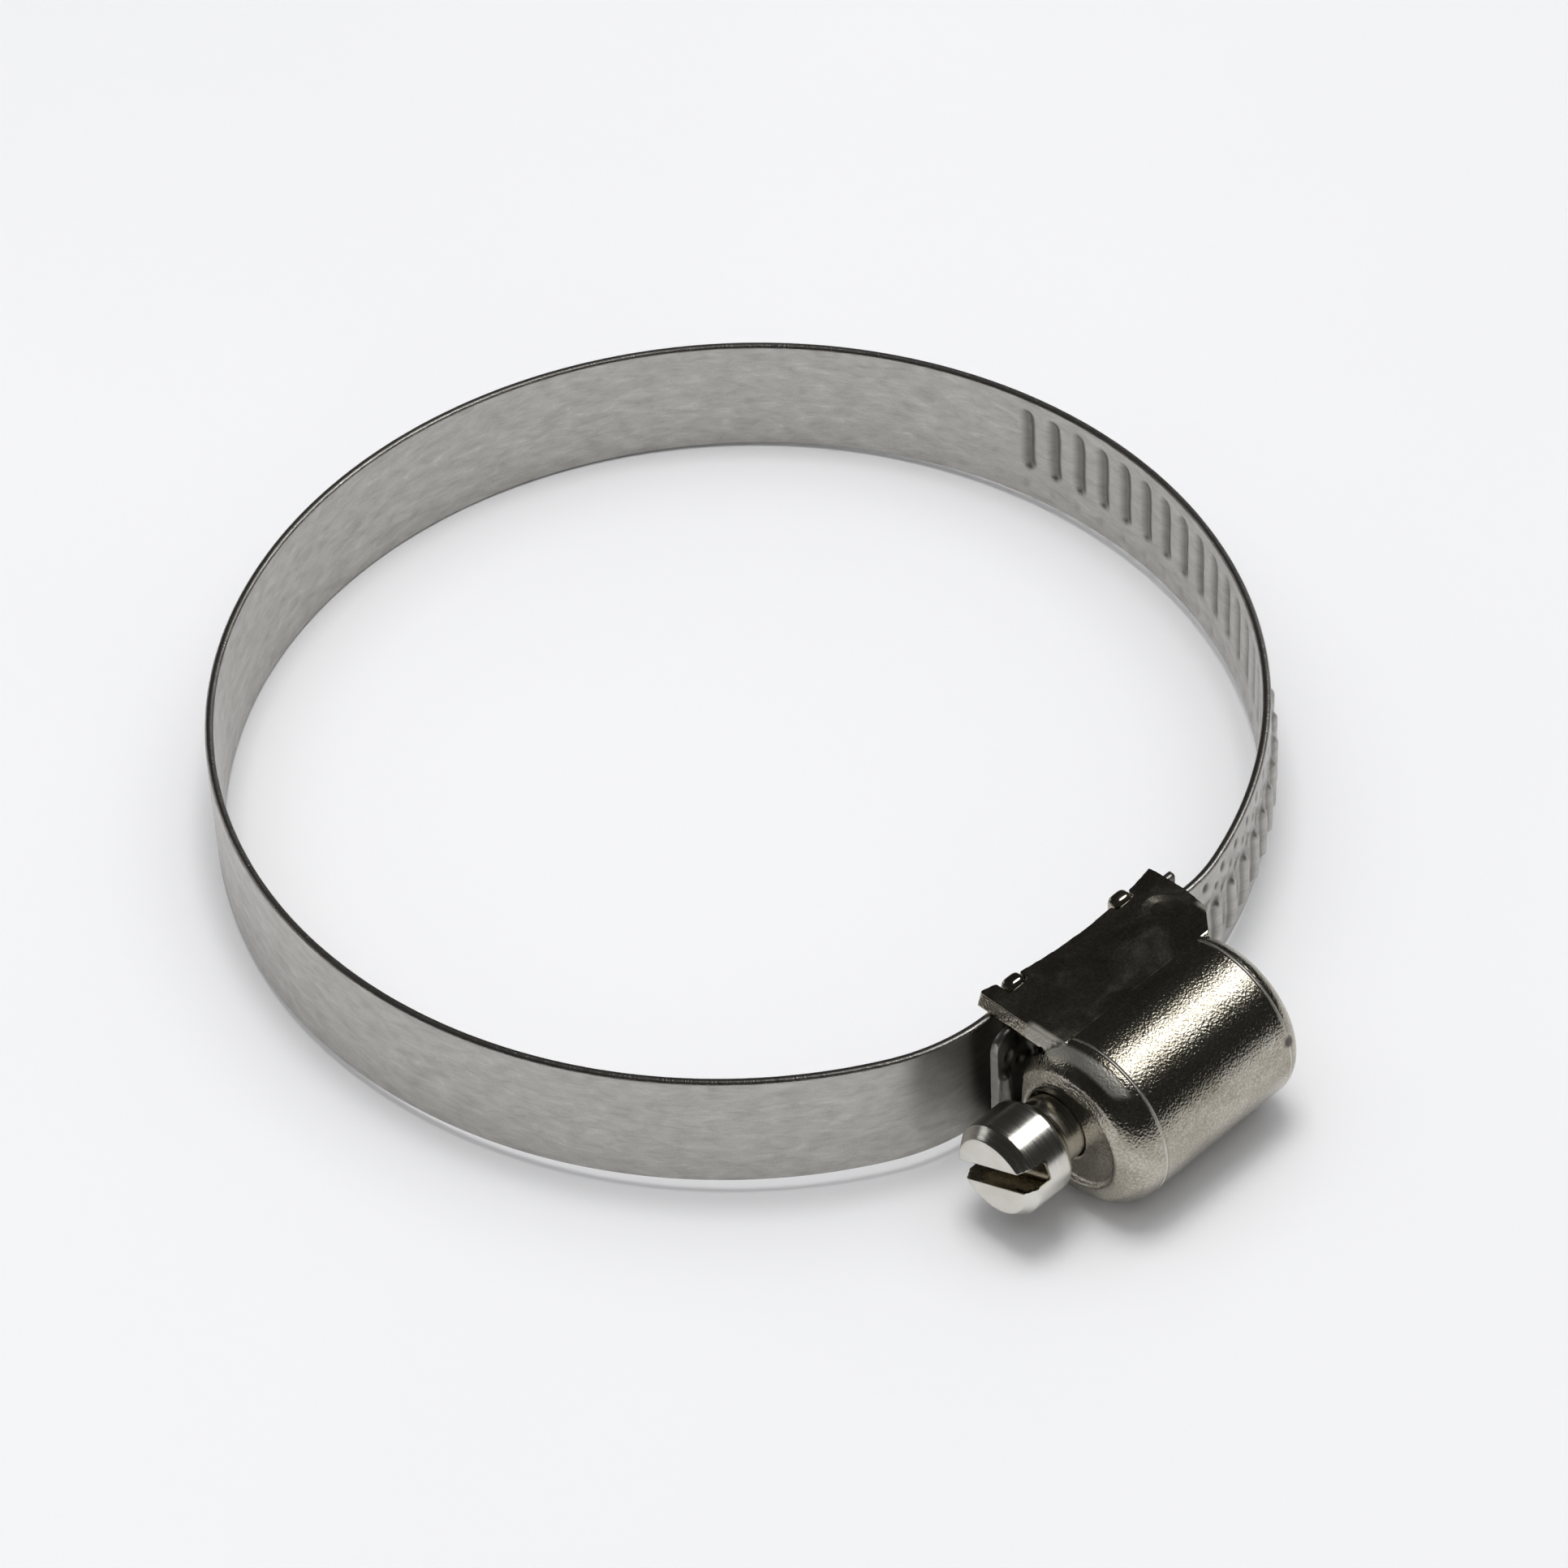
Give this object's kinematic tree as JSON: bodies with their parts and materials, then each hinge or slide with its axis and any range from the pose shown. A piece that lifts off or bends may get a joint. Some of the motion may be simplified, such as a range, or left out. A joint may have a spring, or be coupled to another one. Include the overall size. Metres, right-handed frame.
{
  "type": "worm-drive hose clamp",
  "caption": "Screw-tightened steel ring clamp: a strip band with a pressed thread, a housing and a slotted worm screw, for holding a hose on a spigot.",
  "frame": {"origin": "centre of the hose circle, at the middle of the band's width", "axes": "+Z along the hose axis; +X along the screw towards its slotted head; +Y out from the hose through the housing"},
  "size_m": [0.0702, 0.0805, 0.0118],
  "materials": {
    "strip_steel": "satin",
    "housing_steel": "polished",
    "screw_steel": "polished"
  },
  "bodies": {
    "clamp": {"band": "strip_steel", "housing": "housing_steel"},
    "screw": {"screw": "screw_steel"}
  },
  "joints": [
    {"name": "screw_turn", "type": "hinge", "parent": "clamp", "child": "screw", "pos_m": [0, 0.03985, 0], "axis": [1, 0, 0], "continuous": true, "deforming": ["band"]}
  ]
}
